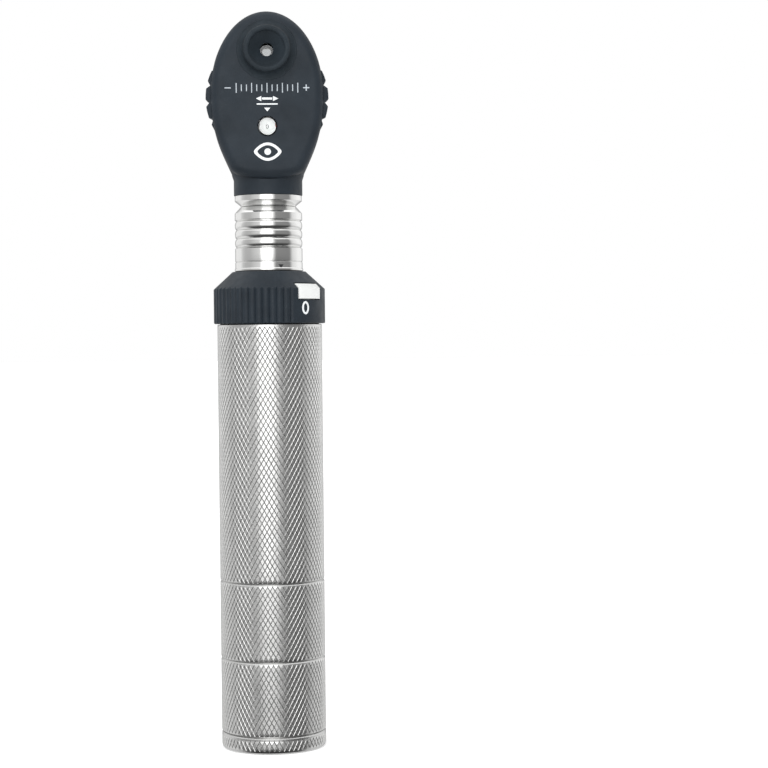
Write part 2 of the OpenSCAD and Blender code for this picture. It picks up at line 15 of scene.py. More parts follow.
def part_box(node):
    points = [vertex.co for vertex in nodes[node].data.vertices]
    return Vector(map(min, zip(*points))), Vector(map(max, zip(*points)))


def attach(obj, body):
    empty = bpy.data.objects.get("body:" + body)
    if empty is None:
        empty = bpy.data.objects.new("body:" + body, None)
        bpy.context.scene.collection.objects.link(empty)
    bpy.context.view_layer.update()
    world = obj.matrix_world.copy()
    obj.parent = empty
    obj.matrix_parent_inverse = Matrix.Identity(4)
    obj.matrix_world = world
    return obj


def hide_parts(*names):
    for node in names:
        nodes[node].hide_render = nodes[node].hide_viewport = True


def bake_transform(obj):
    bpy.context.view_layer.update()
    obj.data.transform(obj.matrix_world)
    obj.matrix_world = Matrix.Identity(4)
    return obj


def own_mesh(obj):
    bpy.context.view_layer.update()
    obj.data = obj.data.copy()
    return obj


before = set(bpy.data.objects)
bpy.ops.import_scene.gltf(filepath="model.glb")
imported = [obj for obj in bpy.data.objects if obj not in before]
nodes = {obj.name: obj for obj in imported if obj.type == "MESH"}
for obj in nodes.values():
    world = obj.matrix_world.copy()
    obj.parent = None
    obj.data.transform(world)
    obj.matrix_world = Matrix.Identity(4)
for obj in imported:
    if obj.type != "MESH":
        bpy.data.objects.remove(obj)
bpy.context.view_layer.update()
MM = 0.001


def low(node, axis):
    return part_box(node)[0][axis] / MM


def high(node, axis):
    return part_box(node)[1][axis] / MM


# ---- Mesh tools ----


class Skin:
    """Points and faces of one mesh, added ring by ring."""

    def __init__(self):
        self.points, self.faces = [], []

    def add(self, points):
        start = len(self.points)
        self.points += points
        return list(range(start, len(self.points)))

    def bridge(self, a, b):
        n = len(a)
        self.faces += [(a[i], a[(i + 1) % n], b[(i + 1) % n], b[i]) for i in range(n)]

    def fan(self, ring, centre):
        n = len(ring)
        self.faces += [(ring[i], ring[(i + 1) % n], centre) for i in range(n)]


def even_angles(n):
    return [2 * math.pi * k / n for k in range(n)]


def ring_z(r, z, angles):
    return [(r * math.cos(a), r * math.sin(a), z) for a in angles]


def ring_y(r, y, angles, x, z):
    return [(x + r * math.cos(a), y, z + r * math.sin(a)) for a in angles]


def linked(name, data):
    """A new object in the scene."""
    obj = bpy.data.objects.new(name, data)
    bpy.context.scene.collection.objects.link(obj)
    return obj


def make(name, skin, body=None, slot=None, replaces=(), sharp=32):
    """A mesh object from a skin, smooth but for edges sharper than so many degrees."""
    mesh = bpy.data.meshes.new(name)
    mesh.from_pydata([Vector(p) * MM for p in skin.points], [], skin.faces)
    obj = linked(name, mesh)
    tidy(obj, sharp)
    return place(obj, body, slot, replaces) if body else obj


def tidy(obj, sharp=32):
    """Joins doubled points, turns faces outward and smooths all but the sharp edges."""
    b = bmesh.new()
    b.from_mesh(obj.data)
    bmesh.ops.remove_doubles(b, verts=b.verts, dist=1e-7)
    bmesh.ops.recalc_face_normals(b, faces=b.faces)
    b.to_mesh(obj.data)
    b.free()
    obj.data.shade_smooth()
    obj.data.set_sharp_from_angle(angle=math.radians(sharp))


def dress(obj, slot, replaces=()):
    """Gives obj its slot's finish and hides the CAD nodes that it stands for."""
    if replaces:
        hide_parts(*replaces)
    obj.data.materials.clear()
    obj.data.materials.append(finishes[slot])
    return obj


def place(obj, body, slot, replaces=()):
    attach(obj, body)
    return dress(obj, slot, replaces)


def carve(obj, how, *tools, sharp=32):
    """Joins tools to obj or cuts them out of it."""
    for tool in tools:
        cut = obj.modifiers.new("carve", "BOOLEAN")
        cut.object, cut.operation, cut.solver = tool, how, "EXACT"
        view = bpy.context.evaluated_depsgraph_get()
        done = bpy.data.meshes.new_from_object(obj.evaluated_get(view))
        obj.modifiers.clear()
        obj.data = done
        bpy.data.objects.remove(tool)
    tidy(obj, sharp)
    return obj


def eased(outline, radius, steps=3, closed=True):
    """The outline with each corner rounded, as far as its sides allow."""
    n, made = len(outline), []
    for k in range(n):
        if not closed and k in (0, n - 1):
            made.append(tuple(outline[k]))
            continue
        a, p, b = (Vector(outline[(k + s) % n][:2]) for s in (-1, 0, 1))
        u, v = a - p, b - p
        turn = math.pi - u.angle(v, math.pi)
        if turn < math.radians(25) or p.x <= 0:
            made.append(tuple(p))
            continue
        t = min(radius * math.tan(turn / 2), 0.45 * u.length, 0.45 * v.length)
        start, end = p + u.normalized() * t, p + v.normalized() * t
        for s in range(steps + 1):
            q = s / steps
            made.append(tuple((1 - q) ** 2 * start + 2 * q * (1 - q) * p + q * q * end))
    return made


def turned(name, outline, columns=144, centre=None, **kw):
    """A lathed solid from a closed outline of (radius, height). With a centre (x, z), the
    axis runs along Y and heights are distances towards the examiner."""
    skin, angles, rings = Skin(), even_angles(columns), []
    for r, h in outline:
        count = angles if r > 1e-6 else [0]
        r = max(r, 0)
        if centre is None:
            rings.append(skin.add(ring_z(r, h, count)))
        else:
            rings.append(skin.add(ring_y(r, -h, count, *centre)))
    for a, b in zip(rings, rings[1:] + rings[:1]):
        if len(a) > 1 and len(b) > 1:
            skin.bridge(a, b)
        elif len(a) > 1:
            skin.fan(a, b[0])
        elif len(b) > 1:
            skin.fan(b, a[0])
    return make(name, skin, **kw)


def rod_y(r, y0, y1, x=0, z=0, columns=72):
    return turned("tool", [(0, -y0), (r, -y0), (r, -y1), (0, -y1)], columns, (x, z))


def rod_z(r, z0, z1, columns=96):
    return turned("tool", [(0, z0), (r, z0), (r, z1), (0, z1)], columns)


def block(lo, hi, turn=0):
    """A box from corner lo to corner hi, then turned about Z by so many degrees."""
    spin = Matrix.Rotation(math.radians(turn), 3, "Z")
    corners = [
        tuple(spin @ Vector((x, y, z)))
        for x in (lo[0], hi[0])
        for y in (lo[1], hi[1])
        for z in (lo[2], hi[2])
    ]
    skin = Skin()
    skin.add(corners)
    skin.faces = [(0, 1, 3, 2), (4, 6, 7, 5), (0, 4, 5, 1), (2, 3, 7, 6), (0, 2, 6, 4), (1, 5, 7, 3)]
    return make("tool", skin)


def softened(node, name, body, slot, width, sharp=32):
    """A copy of a CAD node with its edges broken by a small bevel."""
    mesh = nodes[node].data.copy()
    obj = linked(name, mesh)
    b = bmesh.new()
    b.from_mesh(mesh)
    bmesh.ops.remove_doubles(b, verts=b.verts, dist=2e-6)
    bmesh.ops.dissolve_limit(b, angle_limit=math.radians(1), verts=b.verts, edges=b.edges)
    edges = [e for e in b.edges if e.is_manifold and e.calc_face_angle(0) > math.radians(sharp)]
    bmesh.ops.bevel(
        b, geom=edges, offset=width * MM, segments=2, profile=0.5, affect="EDGES", clamp_overlap=True
    )
    b.to_mesh(mesh)
    b.free()
    tidy(obj, sharp)
    return place(obj, body, slot, [node])


def copied(node, name):
    """The shape of a CAD node as a piece of its own."""
    obj = linked(name, nodes[node].data.copy())
    tidy(obj, 40)
    return obj


# ---- Materials ----

finishes = {}


def shade(colour, k):
    return tuple(min(1, max(0, c * k)) for c in colour[:3]) + (1,)


def finish(
    slot, colour, rough, metal=0.0, vary=0.1, patch=250, grain=2500, bump=0.0, uneven=0.05,
    stretch=(1, 1, 1), **inputs
):
    """A procedural finish: cloudy colour, uneven gloss and a fine surface grain. Patch and
    grain are the scales of the clouds and the grain; inputs are the shader's own, by name."""
    m = bpy.data.materials.new(slot)
    m.use_nodes = True
    tree = m.node_tree
    shader = tree.nodes["Principled BSDF"]
    where = tree.nodes.new("ShaderNodeTexCoord")
    scale = tree.nodes.new("ShaderNodeMapping")
    scale.inputs["Scale"].default_value = stretch
    tree.links.new(where.outputs["Object"], scale.inputs["Vector"])

    def noise(size, detail):
        made = tree.nodes.new("ShaderNodeTexNoise")
        made.inputs["Scale"].default_value = size
        made.inputs["Detail"].default_value = detail
        tree.links.new(scale.outputs["Vector"], made.inputs["Vector"])
        return made.outputs["Fac"]

    cloud = tree.nodes.new("ShaderNodeValToRGB")
    cloud.color_ramp.elements[0].position = 0.3
    cloud.color_ramp.elements[0].color = shade(colour, 1 - vary)
    cloud.color_ramp.elements[1].position = 0.7
    cloud.color_ramp.elements[1].color = shade(colour, 1 + vary)
    tree.links.new(noise(patch, 4), cloud.inputs["Fac"])
    tree.links.new(cloud.outputs["Color"], shader.inputs["Base Color"])

    gloss = tree.nodes.new("ShaderNodeMapRange")
    gloss.inputs["From Min"].default_value = 0.3
    gloss.inputs["From Max"].default_value = 0.7
    gloss.inputs["To Min"].default_value = max(0.01, rough - uneven)
    gloss.inputs["To Max"].default_value = min(1, rough + uneven)
    tree.links.new(noise(patch * 2.3, 3), gloss.inputs["Value"])
    tree.links.new(gloss.outputs["Result"], shader.inputs["Roughness"])

    if bump:
        fine = tree.nodes.new("ShaderNodeBump")
        fine.inputs["Strength"].default_value = bump
        fine.inputs["Distance"].default_value = 0.0001
        tree.links.new(noise(grain, 5), fine.inputs["Height"])
        tree.links.new(fine.outputs["Normal"], shader.inputs["Normal"])
    shader.inputs["Metallic"].default_value = metal
    for key, value in inputs.items():
        shader.inputs[key.replace("_", " ")].default_value = value
    finishes[slot] = m
    return m


def darker_below(slot, r_valley, r_crest, dark):
    """Dirt and shade in the knurl: the colour darkens with depth under the crests."""
    tree = finishes[slot].node_tree
    shader = tree.nodes["Principled BSDF"]
    colour = shader.inputs["Base Color"].links[0].from_socket
    where = tree.nodes["Texture Coordinate"].outputs["Object"]
    flat = tree.nodes.new("ShaderNodeVectorMath")
    flat.operation = "MULTIPLY"
    flat.inputs[1].default_value = (1, 1, 0)
    length = tree.nodes.new("ShaderNodeVectorMath")
    length.operation = "LENGTH"
    depth = tree.nodes.new("ShaderNodeMapRange")
    depth.inputs["From Min"].default_value = r_valley * MM
    depth.inputs["From Max"].default_value = r_crest * MM
    depth.inputs["To Min"].default_value = dark
    depth.inputs["To Max"].default_value = 1
    mix = tree.nodes.new("ShaderNodeVectorMath")
    mix.operation = "SCALE"
    tree.links.new(where, flat.inputs[0])
    tree.links.new(flat.outputs["Vector"], length.inputs[0])
    tree.links.new(length.outputs["Value"], depth.inputs["Value"])
    tree.links.new(colour, mix.inputs[0])
    tree.links.new(depth.outputs["Result"], mix.inputs["Scale"])
    tree.links.new(mix.outputs["Vector"], shader.inputs["Base Color"])


CHROME = (0.86, 0.86, 0.85)
DULL = {"Specular IOR Level": 0.25}
finish(
    "knurled_metal", (0.78, 0.78, 0.77), 0.26, 1.0, vary=0.05, patch=180, grain=5000, bump=0.12,
    uneven=0.06
)
finish(
    "socket_chrome", CHROME, 0.14, 1.0, vary=0.02, patch=60, grain=3000, bump=0.05,
    stretch=(0.03, 0.03, 1)
)
finish(
    "shell_black", (0.0165, 0.023, 0.0305), 0.52, vary=0.14, patch=140, grain=3200, bump=0.3,
    uneven=0.07, **DULL
)
finish(
    "ring_black", (0.0155, 0.022, 0.0295), 0.46, vary=0.14, patch=200, grain=3000, bump=0.3,
    uneven=0.07, **DULL
)
finish(
    "rubber_black", (0.0165, 0.0235, 0.03), 0.62, vary=0.16, patch=260, grain=2200, bump=0.4, **DULL
)
finish("button_white", (0.7, 0.71, 0.7), 0.42, vary=0.03, patch=300, grain=3000, bump=0.15)
finish("core_black", (0.02, 0.02, 0.022), 0.55, vary=0.15, bump=0.2)
finish("bush_cream", (0.7, 0.64, 0.48), 0.5, vary=0.08, bump=0.15)
finish("track_carbon", (0.06, 0.035, 0.02), 0.7, vary=0.25, patch=900, bump=0.3)
finish("cell_can", (0.05, 0.06, 0.09), 0.35, 0.3, vary=0.1, patch=120, bump=0.05)
finish("contact_brass", (0.72, 0.5, 0.2), 0.28, 1.0, vary=0.08, patch=300, bump=0.1)
finish("spring_steel", (0.55, 0.55, 0.54), 0.28, 1.0, vary=0.08, patch=400, bump=0.1)
finish("inner_black", (0.022, 0.022, 0.024), 0.6, vary=0.15, bump=0.2)
finish("inner_steel", (0.58, 0.58, 0.57), 0.32, 1.0, vary=0.06, patch=300, bump=0.1)
# the dial glows faintly: painted light, so that it shows bright behind its glass
finish(
    "dial_white", (0.88, 0.88, 0.86), 0.45, vary=0.03, patch=400, bump=0.08,
    Emission_Color=(1, 1, 0.97, 1), Emission_Strength=0.35
)
finish("lamp_ceramic", (0.74, 0.72, 0.66), 0.45, vary=0.06, bump=0.12)
finish("mirror_glass", (0.92, 0.93, 0.94), 0.03, 1.0, vary=0.01, uneven=0.015)
for glass, tint in (
    ("clear_glass", (0.97, 0.99, 1.0)),
    ("green_glass", (0.25, 0.85, 0.4)),
    ("blue_glass", (0.2, 0.4, 0.95)),
):
    finish(glass, tint, 0.03, vary=0.01, uneven=0.015, Transmission_Weight=1.0, IOR=1.5)
for ink, tint, vary in (
    ("print_white", (0.72, 0.74, 0.75), 0.06),
    ("print_grey", (0.42, 0.46, 0.5), 0.08),
    ("print_black", (0.02, 0.02, 0.022), 0.1),
    ("print_red", (0.55, 0.03, 0.02), 0.1),
):
    finish(ink, tint, 0.5, vary=vary, patch=500, grain=4000, bump=0.2)

slots = {
    "knurled_metal": ["handle_tube", "end_cap"],
    "socket_chrome": ["bayonet_socket", "head_connector", "bayonet_pins"],
    "shell_black": ["head_housing", "eyepiece_cover"],
    "ring_black": ["dimmer_ring"],
    "rubber_black": ["eyepiece_cup", "front_bezel"],
    "button_white": ["lock_button"],
    "core_black": ["dimmer_core", "spring_seat"],
    "bush_cream": ["insulator_bush"],
    "track_carbon": ["resistance_track"],
    "cell_can": ["battery_cell_lower", "battery_cell_upper"],
    "contact_brass": ["battery_contact", "contact_pin", "lamp_contact", "dimmer_wiper"],
    "spring_steel": ["contact_spring", "button_spring", "battery_spring", "detent_leaf", "filament"],
    "inner_black": [
        "chassis_plate", "lens_wheel", "condenser_tube", "objective_tube", "mirror_holder", "aperture_wheel"
    ],
    "inner_steel": ["cover_screws", "wheel_axle", "wheel_washer", "detent_ball", "aperture_axle"],
    "dial_white": ["dial_ring"],
    "lamp_ceramic": ["lamp_base"],
    "clear_glass": [
        "bulb_glass", "sight_window", "dial_window", "front_window", "plus_lenses", "minus_lenses",
        "condenser_lens", "objective_lens", "fixation_glass"
    ],
    "green_glass": ["green_filter"],
    "blue_glass": ["blue_filter"],
    "mirror_glass": ["mirror"],
}
for slot, members in slots.items():
    for n in members:
        nodes[n].data.materials.clear()
        nodes[n].data.materials.append(finishes[slot])

# ---- Knurled tube and cap ----

DIAMONDS = 68  # round the tube
HALF_ROW = 1.085  # half the height of a diamond
CREST = 0.78  # share of a diamond that stays uncut
KNURL_DEPTH = 0.08
tube_r = high("handle_tube", 0)
valley_r = tube_r - KNURL_DEPTH
half_diamond = math.pi / DIAMONDS
knurl_angles = [
    j * half_diamond
    for middle in range(1, 2 * DIAMONDS, 2)
    for j in (middle - 1, middle - CREST, middle + CREST)
]
darker_below("knurled_metal", valley_r, tube_r - 0.01, 0.75)


def knurl(skin, z0, z1):
    """A band of diamonds between crossing spiral grooves. The grooves cross where row i and
    column j add up to an even number. Returns the band's first and last rings."""
    m = max(2, 2 * round((z1 - z0) / HALF_ROW / 2))
    h = (z1 - z0) / m
    spot = {}

    def at(r, i, j):
        a = j * half_diamond
        return (r * math.cos(a), r * math.sin(a), z0 + i * h)

    for i in range(m + 1):
        for j in range(2 * DIAMONDS):
            if (i + j) % 2 == 0:
                spot[i, j] = skin.add([at(valley_r, i, j)])[0]
                continue
            spot[i, j, "L"] = skin.add([at(tube_r, i, j - CREST)])[0]
            spot[i, j, "R"] = skin.add([at(tube_r, i, j + CREST)])[0]
            if i < m:
                spot[i, j, "U"] = skin.add([at(tube_r, i + CREST, j)])[0]
            if i > 0:
                spot[i, j, "D"] = skin.add([at(tube_r, i - CREST, j)])[0]
    for i in range(m + 1):
        for j in range(2 * DIAMONDS):
            if (i + j) % 2 == 0:
                continue
            left, right = (spot[i, (j + s) % (2 * DIAMONDS)] for s in (-1, 1))
            cl, cr = spot[i, j, "L"], spot[i, j, "R"]
            crest = [cl]
            if i > 0:
                down, cd = spot[i - 1, j], spot[i, j, "D"]
                skin.faces += [(left, down, cd, cl), (down, right, cr, cd)]
                crest.append(cd)
            crest.append(cr)
            if i < m:
                up, cu = spot[i + 1, j], spot[i, j, "U"]
                skin.faces += [(right, up, cu, cr), (up, left, cl, cu)]
                crest.append(cu)
            skin.faces.append(tuple(crest))
    edge = []
    for i in (0, m):
        edge.append([
            s
            for j in range(1, 2 * DIAMONDS, 2)
            for s in (spot[i, j - 1], spot[i, j, "L"], spot[i, j, "R"])
        ])
    return edge


def knurled(name, chain, closed, **kw):
    """Turned rings (radius, height) and knurled bands ("band", from, to), in order."""
    skin, last, first = Skin(), None, None
    for item in chain:
        if item[0] == "band":
            start, end = knurl(skin, item[1], item[2])
        elif item[0] == 0:
            start = end = skin.add([(0, 0, item[1])])
        else:
            start = end = skin.add(ring_z(item[0], item[1], knurl_angles))
        if last:
            if len(last) == 1:
                skin.fan(start, last[0])
            elif len(start) == 1:
                skin.fan(last, start[0])
            else:
                skin.bridge(last, start)
        first = first or start
        last = end
    if closed:
        skin.bridge(last, first)
    return make(name, skin, sharp=20, **kw)


tube_lo, tube_hi = low("handle_tube", 2), high("handle_tube", 2)
tube_bore = 13.15
GROOVE_HALF, GROOVE_DEPTH, BESIDE_KNURL = 0.36, 0.34, 0.5
chain = [(tube_bore, tube_lo), (tube_r - 0.35, tube_lo), (tube_r - 0.03, tube_lo + 0.35)]
bottom = tube_lo + BESIDE_KNURL
for z in (23.65, 43.95):
    chain += [
        ("band", bottom, z - BESIDE_KNURL), (tube_r - 0.04, z - GROOVE_HALF), (tube_r - GROOVE_DEPTH, z),
        (tube_r - 0.04, z + GROOVE_HALF)
    ]
    bottom = z + BESIDE_KNURL
chain += [
    ("band", bottom, tube_hi - 0.75), (tube_r - 0.03, tube_hi - 0.62), (tube_r - 0.03, tube_hi - 0.15),
    (tube_r - 0.2, tube_hi), (tube_bore, tube_hi)
]
knurled("tube_knurled", chain, True, body="handle", slot="knurled_metal", replaces=["handle_tube"])

cap_hi = tube_lo - 0.1
thread_r, thread_bore, cap_floor, dish = tube_bore - 0.04, tube_bore - 1.2, 1.6, 0.35
knurled(
    "cap_knurled",
    [
        (0, dish), (9, dish), (9.4, 0), (tube_r - 0.95, 0), (tube_r - 0.5, 0.1), (tube_r - 0.2, 0.36),
        (tube_r - 0.04, 0.8), ("band", 0.92, cap_hi - 0.85), (tube_r - 0.02, cap_hi - 0.76),
        (tube_r - 0.02, cap_hi - 0.3), (tube_r - 0.32, cap_hi), (thread_r, cap_hi),
        (thread_r, cap_hi + 3.2), (thread_bore, cap_hi + 3.2), (thread_bore, cap_floor), (0, cap_floor)
    ],
    False,
    body="end_cap",
    slot="knurled_metal",
    replaces=["end_cap"],
)

# ---- Brightness ring and its lock button ----

ring_lo, ring_hi = low("dimmer_ring", 2), high("dimmer_ring", 2)
ring_r = high("dimmer_ring", 1)
chamfer, shoulder, ring_bore, boss, ring_roof = 4.6, 5, 13.15, 8.85, 1.2
FLUTES = 48
FLUTE_DEPTH = 0.42
PLAIN_FROM, PLAIN_TO = 27, 78  # degrees from the examiner's side, round the button
button_turn = 47 - 90  # the button is 47 degrees from the examiner's side, which is at -90


def ring_outline():
    """The ring's section, with extra points where its flutes run out up the chamfer."""
    edge = ring_hi - chamfer
    soft = eased(
        [
            (ring_bore, ring_lo), (ring_r - 0.2, ring_lo), (ring_r, ring_lo + 0.2), (ring_r, edge),
            (ring_r - shoulder, ring_hi), (boss, ring_hi), (boss, ring_hi - ring_roof),
            (ring_bore, ring_hi - ring_roof - ring_bore + boss)
        ],
        0.3,
    )
    made = []
    for a, b in zip(soft, soft[1:] + soft[:1]):
        made.append(a)
        if a[0] > ring_r - 0.9 and b[0] < a[0] - 1 and b[1] > a[1]:
            made += [(a[0] - s, a[1] + s * chamfer / shoulder) for s in (0.1, 0.22, 0.36, 0.5, 0.7)]
    return made


def ring_flute(a):
    """Radius of the ribbed outline at an angle from +X, plain where the button sits."""
    from_face = (math.degrees(a) + 90) % 360
    if PLAIN_FROM < from_face < PLAIN_TO:
        return ring_r + 1
    t = a * FLUTES / (2 * math.pi) % 1
    return ring_r + 0.01 - FLUTE_DEPTH * (1 - abs(math.sin(math.pi * t)) ** 0.8)


def fluted(r, z):
    """One ring of points at the section's (r, z), let into the flutes where it meets them."""
    made = []
    for a in even_angles(FLUTES * 10):
        q = min(r, ring_flute(a) - (ring_r - r) * 0.3) if r > ring_bore + 0.3 else r
        made.append((q * math.cos(a), q * math.sin(a), z))
    return made


skin = Skin()
rings = [skin.add(fluted(r, z)) for r, z in ring_outline()]
for a, b in zip(rings, rings[1:] + rings[:1]):
    skin.bridge(a, b)
ring = make("ring_fluted", skin, sharp=38)
window_lo, window_hi, window_half = ring_hi - 7.55, ring_hi - 3.15, 4.15
# the wall that the button's spring stands on, and the button's window
spring_wall = block((8.95, -2, ring_hi - 7.3), (9.8, 2, ring_hi - 1.9), button_turn)
window = block((10.7, -window_half, window_lo), (16.5, window_half, window_hi), button_turn)
carve(ring, "UNION", spring_wall)
carve(ring, "DIFFERENCE", window, sharp=38)
place(ring, "dimmer_ring", "ring_black", ["dimmer_ring"])
softened("lock_button", "button_cap", "lock_button", "button_white", 0.22)

# ---- Socket and head connector ----

socket_lo = ring_hi + 0.2
socket_hi = high("bayonet_socket", 2)
socket_r = 8.85
rib_lo, pitch = socket_lo + 6.13, 2.3
RIBS, RIB_DEPTH, RIB_STEPS = 3, 0.45, 14
pin_r, lamp_r, floor_z = 6.05, 4, socket_lo + 8.2


def rib_point(k):
    """Point k up the row of rounded ribs."""
    rise = math.sqrt(max(0, math.sin(math.pi * (k % RIB_STEPS) / RIB_STEPS)))
    return (socket_r - RIB_DEPTH * (1 - rise), rib_lo + k / RIB_STEPS * pitch)


land = rib_lo + RIBS * pitch
outline = eased(
    [
        (lamp_r, ring_hi - 7), (6, ring_hi - 7), (6, socket_lo), (socket_r + 0.15, socket_lo),
        (socket_r + 0.15, socket_lo + 0.5), (socket_r, socket_lo + 0.7), (socket_r, socket_lo + 2.2),
        (socket_r - 0.25, socket_lo + 2.35), (socket_r, socket_lo + 2.5), (socket_r, rib_lo - 0.3)
    ],
    0.12,
    closed=False,
)
outline += [rib_point(k) for k in range(RIBS * RIB_STEPS + 1)]
outline += eased(
    [
        (socket_r - 0.4, land), (socket_r, land + 0.3), (socket_r, socket_hi - 1.64), (7.35, socket_hi),
        (pin_r, socket_hi), (pin_r, floor_z), (lamp_r, floor_z)
    ],
    0.12,
    closed=False,
)[1:]
socket = turned("socket_ribbed", outline, 160)
slot_r, slot_lo, slot_hi, slot_half = 7.05, socket_lo + 10.9, socket_lo + 13.1, 1.1
# two ways in for the bayonet pins, and the groove that they turn in
for side in (60, 240):
    way_in = block((5, -slot_half, slot_lo + 0.4), (7, slot_half, socket_hi + 1), side)
    carve(socket, "DIFFERENCE", way_in)
groove = [(5, slot_lo), (slot_r, slot_lo), (slot_r, slot_hi), (5, slot_hi)]
carve(socket, "DIFFERENCE", turned("tool", groove, 160), sharp=28)
place(socket, "handle", "socket_chrome", ["bayonet_socket"])

collar_lo = socket_hi + 0.15
collar_hi = collar_lo + 2.8
turned(
    "connector_turned",
    eased(
        [
            (4.55, collar_lo - 7.7), (5.6, collar_lo - 7.7), (6, collar_lo - 7.3), (6, collar_lo),
            (7.3, collar_lo), (7.3, collar_lo + 0.2), (8.8, collar_lo + 1.4), (8.8, collar_hi),
            (7, collar_hi), (7, collar_hi + 3.2), (4, collar_hi + 3.2), (4, collar_lo + 3.85),
            (4.55, collar_lo + 3.85)
        ],
        0.14,
    ),
    160,
    body="head",
    slot="socket_chrome",
    replaces=["head_connector"],
    sharp=28,
)

# ---- Shells of the head ----

waist = collar_hi + 25.6
face_y, back_y, split_y = low("eyepiece_cover", 1), high("head_housing", 1), high("eyepiece_cover", 1)
wheel_z = (low("dial_ring", 2) + high("dial_ring", 2)) / 2
sight_z, dial_z = wheel_z + 12.1, wheel_z - 7.45
window_z = (low("front_window", 2) + high("front_window", 2)) / 2
disc_lo, disc_hi = low("aperture_wheel", 2), high("aperture_wheel", 2)
half_w, rise, shoulder_x, shoulder_z = 14.65, 21.55, 9.6, waist - 19.3
wall, wheel_room = 1.6, 16.3
screws = [(0, waist + 17.9), (-5.5, waist - 17.9), (5.5, waist - 17.9)]


def ellipse(a, c, v, n=40):
    """An ellipse of half-axes a and c, round a centre at height v on the midline."""
    return [(a * math.cos(t), v + c * math.sin(t)) for t in even_angles(n)]


def bezier(p, t):
    """The point at share t along a curve with the four control points p."""
    w = ((1 - t) ** 3, 3 * (1 - t) ** 2 * t, 3 * (1 - t) * t * t, t**3)
    return tuple(sum(k * q[c] for k, q in zip(w, p)) for c in (0, 1))


def oval(inset):
    """The head's outline drawn inward: an ellipse over the waist, straighter flanks below."""
    right = [
        (half_w - inset, waist), (half_w - inset, waist - 8.5),
        (shoulder_x + 3.35 - inset, shoulder_z + 7.2), (shoulder_x - inset, shoulder_z + 0.3 * inset)
    ]
    left = [(-x, z) for x, z in right]
    dip, pull = shoulder_z - 3.2 + 1.2 * inset, 0.72 * (shoulder_x - inset)
    chin = [left[3], (-pull, dip), (pull, dip), right[3]]
    top = ellipse(half_w - inset, rise - inset, waist, 180)[:91]
    return (
        top
        + [bezier(left, t / 24) for t in range(1, 25)]
        + [bezier(chin, t / 24) for t in range(1, 24)]
        + [bezier(right, t / 24) for t in range(24, 0, -1)]
    )


def lofted(name, sections):
    """A solid through ovals given as (y, inset), closed by a flat face at each end."""
    skin = Skin()
    rings = [skin.add([(x, y, z) for x, z in oval(i)]) for y, i in sections]
    for a, b in zip(rings, rings[1:]):
        skin.bridge(a, b)
    skin.faces += [tuple(rings[0]), tuple(rings[-1])]
    return make(name, skin)


def quarter(y_end, way, radius, inset, steps):
    """Sections of an edge rounded by radius on the way to y_end."""
    turns = [math.radians(90 * s / steps) for s in range(steps + 1)]
    return [(y_end - way * radius * (1 - math.sin(a)), inset + radius * (1 - math.cos(a))) for a in turns]


def at_screws(r, y0, y1, columns):
    """A rod along Y at each of the cover's screws."""
    return [rod_y(r, y0, y1, x, z, columns) for x, z in screws]


SEAM = 0.14  # bevel where the two shells meet
GLASS_R = 2.57
cover = lofted(
    "cover_shell",
    [(split_y, SEAM), (split_y - SEAM, 0)] + quarter(face_y, -1, 2.6, 0, 12) + [(face_y, 2.95)],
)
# hollow, with a post for each screw, room for the lens wheel, the sight hole, the dial
# glass's seat, the dial's hole and the screws' pilot holes
cover_inside = lofted("tool", [(split_y + 0.5, wall)] + quarter(face_y + 1.8, -1, 1.2, wall, 5))
carve(cover, "DIFFERENCE", cover_inside)
carve(cover, "UNION", *at_screws(1.75, face_y + 1.7, split_y, 36))
carve(
    cover,
    "DIFFERENCE",
    rod_y(wheel_room, -8.4, split_y + 1, 0, wheel_z, 180),
    rod_y(4.2, face_y - 1, split_y + 1, 0, sight_z),
    rod_y(GLASS_R + 0.03, face_y - 1, face_y + 0.9, 0, dial_z),
    rod_y(2.15, face_y - 1, split_y + 1, 0, dial_z),
    *at_screws(0.8, face_y + 2.5, split_y + 1, 32),
)
place(cover, "head", "shell_black", ["eyepiece_cover"])

housing = lofted(
    "housing_shell",
    [(split_y, SEAM), (split_y + SEAM, 0)] + quarter(back_y, 1, 3.2, 0, 12) + [(back_y, 3.6)],
)
neck_lo = low("head_housing", 2)
neck = turned(
    "tool",
    [
        (0, neck_lo), (8.85, neck_lo), (9, neck_lo + 0.15), (9, waist - 21.6), (9.12, waist - 21.2),
        (9.4, waist - 20.4), (shoulder_x, shoulder_z + 0.2), (0, shoulder_z + 0.2)
    ],
    144,
)
# the neck is cut away where the cover sits
carve(neck, "DIFFERENCE", lofted("tool", [(face_y - 1, 0), (split_y, 0)]))
# hollow, with the neck and the screws' posts, and cut for the connector, the window and
# its seat, the aperture wheel's slot, and the screws and their heads
housing_inside = lofted("tool", [(split_y - 0.5, wall)] + quarter(back_y - wall, 1, 2, wall, 6))
carve(housing, "DIFFERENCE", housing_inside)
carve(housing, "UNION", neck, *at_screws(1.75, split_y, back_y - wall + 0.02, 36))
carve(
    housing,
    "DIFFERENCE",
    rod_z(7.05, neck_lo - 1, shoulder_z + 0.5),
    rod_y(4.4, back_y - 3, back_y + 1, 0, window_z),
    rod_y(5, back_y - 0.8, back_y + 1, 0, window_z),
    block((-5.8, back_y - 4, disc_lo - 0.4), (5.8, back_y + 1, disc_hi + 0.4)),
    *at_screws(1.05, split_y - 1, back_y + 1, 32),
    *at_screws(2, back_y - 1, back_y + 1, 48),
)
place(housing, "head", "shell_black", ["head_housing"])

# ---- Eyepiece cup, dial glass, bezel, wheels and screws ----

